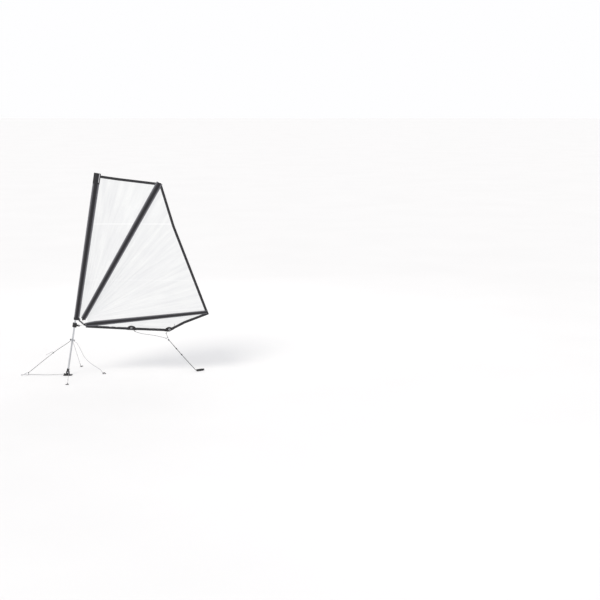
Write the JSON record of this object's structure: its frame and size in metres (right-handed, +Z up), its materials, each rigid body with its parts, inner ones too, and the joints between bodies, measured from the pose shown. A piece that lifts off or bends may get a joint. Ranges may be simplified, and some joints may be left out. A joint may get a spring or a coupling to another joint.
{
  "type": "canoe sail",
  "caption": "Folding fan sail for a canoe: raked mast on a hinged deck foot, stays, a cloth sail with sprit and boom, bridle, sheet and cleat.",
  "frame": {"origin": "middle of the mast foot's underside, on the deck", "axes": "+X aft along the boat, +Y to the far side, +Z up; the boat's centre line is the X axis and the deck is the plane z = 0"},
  "size_m": [1.7166, 0.7544, 1.8373],
  "materials": {
    "black_nylon": "satin moulded",
    "stainless_steel": "polished",
    "bright_aluminium": "satin drawn tube",
    "carbon_tube": "semi-gloss wound tube",
    "charcoal_sailcloth": "matt woven",
    "black_tape": "matt webbing",
    "white_sailcloth": "soft sheen, crisp woven",
    "pale_cord": "matt braid",
    "grey_cord": "matt braid"
  },
  "bodies": {
    "deck": {"mast_foot_base": "black_nylon", "foot_screw_1": "stainless_steel", "foot_screw_2": "stainless_steel", "foot_screw_3": "stainless_steel", "foot_screw_4": "stainless_steel", "foot_hinge_pin": "stainless_steel", "sheet_cleat": "black_nylon", "port_stay_ring": "black_nylon", "starboard_stay_ring": "black_nylon", "bow_ring": "stainless_steel", "bow_hook": "stainless_steel", "downhaul_eye": "black_nylon", "uphaul_fall": "pale_cord"},
    "mast": {"mast_heel": "black_nylon", "mast_tube": "bright_aluminium", "mast_head_plug": "black_nylon", "stay_plate": "bright_aluminium", "port_stay": "pale_cord", "starboard_stay": "pale_cord", "uphaul": "grey_cord", "uphaul_tail": "pale_cord", "downhaul": "pale_cord"},
    "luff": {"luff_sleeve": "charcoal_sailcloth", "luff_hem": "black_tape", "luff_head_band": "black_tape", "luff_head_cap": "black_tape", "mast_collar": "black_nylon", "tack_strap": "black_tape", "tack_lashing": "pale_cord", "upper_panel": "white_sailcloth", "head_tape": "black_tape"},
    "sprit": {"sprit_pole": "carbon_tube", "sprit_sleeve": "charcoal_sailcloth", "sprit_heel_ball": "black_nylon", "sprit_end_cap": "black_nylon", "main_panel": "white_sailcloth", "leech_tape": "black_tape"},
    "boom": {"boom_pole": "bright_aluminium", "boom_sleeve": "charcoal_sailcloth", "boom_heel_ball": "black_nylon", "boom_end_cap": "black_nylon", "foot_panel": "white_sailcloth", "foot_tape": "black_tape", "foot_patch_1": "black_tape", "foot_patch_2": "black_tape", "foot_eyelet_1": "stainless_steel", "foot_eyelet_2": "stainless_steel", "sheet_hook_1": "black_nylon", "sheet_hook_2": "black_nylon", "bridle_ring": "stainless_steel", "bridle_fore_leg": "pale_cord", "bridle_aft_leg": "pale_cord", "sheet": "grey_cord"},
    "bow_gate": {"bow_hook_gate": "stainless_steel"}
  },
  "joints": [
    {"name": "mast_fold", "type": "hinge", "parent": "deck", "child": "mast", "pos_m": [0, 0, 0.03], "axis": [0, 1, 0], "range_deg": [0, 60], "deforming": ["port_stay", "starboard_stay", "uphaul", "uphaul_tail", "downhaul", "bridle_fore_leg", "bridle_aft_leg", "sheet"]},
    {"name": "sail_swing", "type": "hinge", "parent": "mast", "child": "luff", "pos_m": [0, 0, 0.03], "axis": [0.1709, 0, 0.9853], "range_deg": [-75, 75]},
    {"name": "sprit_fold", "type": "hinge", "parent": "luff", "child": "sprit", "pos_m": [0.1509, 0, 0.5145], "axis": [0, 1, 0], "range_deg": [-19, 0], "deforming": ["upper_panel", "head_tape"]},
    {"name": "boom_fold", "type": "hinge", "parent": "sprit", "child": "boom", "pos_m": [0.1613, 0, 0.4686], "axis": [0, 1, 0], "range_deg": [-41, 0], "deforming": ["main_panel", "leech_tape"]},
    {"name": "bow_gate_open", "type": "hinge", "parent": "deck", "child": "bow_gate", "pos_m": [-0.3879, -0.0095, 0.01098], "axis": [0.2246, 0, -0.9745], "range_deg": [0, 22], "stiffness_Nm_per_rad": 0.01, "springref_deg": -5.73}
  ],
  "couplings": [
    {"joint": "sprit_fold", "follows": "mast_fold", "ratio": -0.31667},
    {"joint": "boom_fold", "follows": "mast_fold", "ratio": -0.68333}
  ]
}
